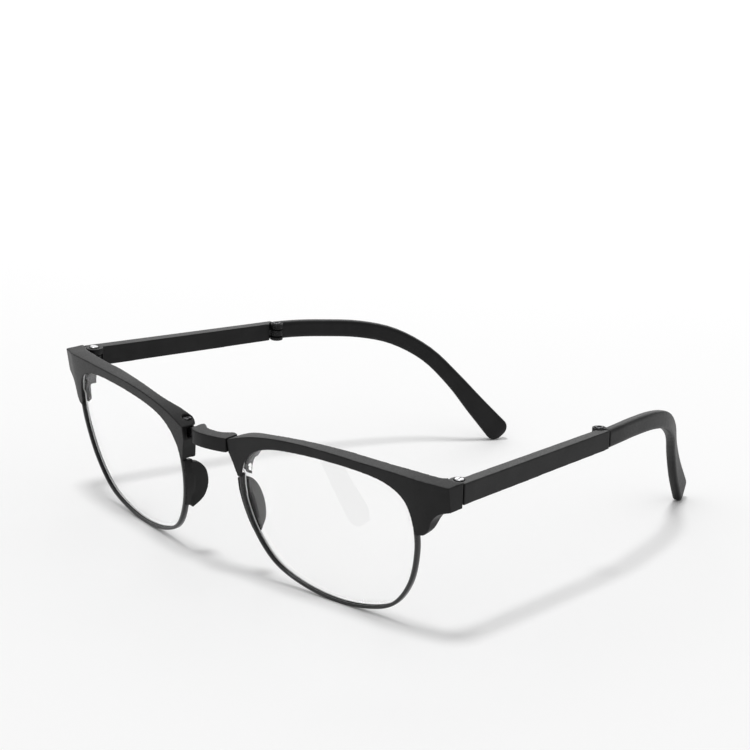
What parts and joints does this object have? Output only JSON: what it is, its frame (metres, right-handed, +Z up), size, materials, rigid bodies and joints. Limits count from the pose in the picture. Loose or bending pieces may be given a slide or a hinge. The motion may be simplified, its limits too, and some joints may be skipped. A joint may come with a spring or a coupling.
{
  "type": "folding reading glasses",
  "caption": "Browline reading glasses that fold at the bridge, at the temples and half way along each arm, with clear lenses in thin lower rims.",
  "frame": {"origin": "on the surface the glasses stand on, under the middle of the bounding box", "axes": "+X to the right as seen from the front, along the right lens half; +Y back along the arms; +Z up. The glasses stand open on both rims and both arm tips, with the left half folded back 14.2 degrees at the bridge."},
  "size_m": [0.1368, 0.1322, 0.0377],
  "materials": {
    "black_plastic": "fine matte texture",
    "black_wire": "smooth satin black",
    "clear_lens": "polished, colourless",
    "silver_steel": "bright turned screw heads",
    "dark_steel": "blackened"
  },
  "bodies": {
    "bridge": {"bridge_link": "black_plastic"},
    "right_front": {"right_brow": "black_plastic", "right_rim_wire": "black_wire", "right_lens": "clear_lens", "right_nose_pad": "black_plastic", "right_bridge_pin": "dark_steel"},
    "right_arm_front": {"right_temple_front": "black_plastic", "right_temple_screw": "silver_steel", "right_temple_nut": "silver_steel"},
    "right_arm_rear": {"right_temple_rear": "black_plastic", "right_mid_pin": "dark_steel"},
    "left_front": {"left_brow": "black_plastic", "left_rim_wire": "black_wire", "left_lens": "clear_lens", "left_nose_pad": "black_plastic", "left_bridge_pin": "dark_steel"},
    "left_arm_front": {"left_temple_front": "black_plastic", "left_temple_screw": "silver_steel", "left_temple_nut": "silver_steel"},
    "left_arm_rear": {"left_temple_rear": "black_plastic", "left_mid_pin": "dark_steel"}
  },
  "joints": [
    {"name": "right_bridge_hinge", "type": "hinge", "parent": "bridge", "child": "right_front", "pos_m": [0.00828, -0.06189, 0.03553], "axis": [0.0057, 0.0625, -0.998], "range_deg": [-26, 0]},
    {"name": "right_temple_hinge", "type": "hinge", "parent": "right_front", "child": "right_arm_front", "pos_m": [0.06558, -0.05522, 0.03628], "axis": [-0.0057, -0.0015, 1], "range_deg": [0, 72]},
    {"name": "right_mid_hinge", "type": "hinge", "parent": "right_arm_front", "child": "right_arm_rear", "pos_m": [0.06359, -0.00255, 0.03634], "axis": [0.0057, 0.0015, -1], "range_deg": [-125, 0]},
    {"name": "left_bridge_hinge", "type": "hinge", "parent": "bridge", "child": "left_front", "pos_m": [-0.01052, -0.06189, 0.03543], "axis": [-0.0057, -0.0625, 0.998], "range_deg": [-25.8, 14.2]},
    {"name": "left_temple_hinge", "type": "hinge", "parent": "left_front", "child": "left_arm_front", "pos_m": [-0.06443, -0.04137, 0.0364], "axis": [-0.0093, 0.0033, -1], "range_deg": [0, 60]},
    {"name": "left_mid_hinge", "type": "hinge", "parent": "left_arm_front", "child": "left_arm_rear", "pos_m": [-0.04958, 0.0092, 0.03644], "axis": [0.0093, -0.0033, 1], "range_deg": [-125, 0]}
  ]
}
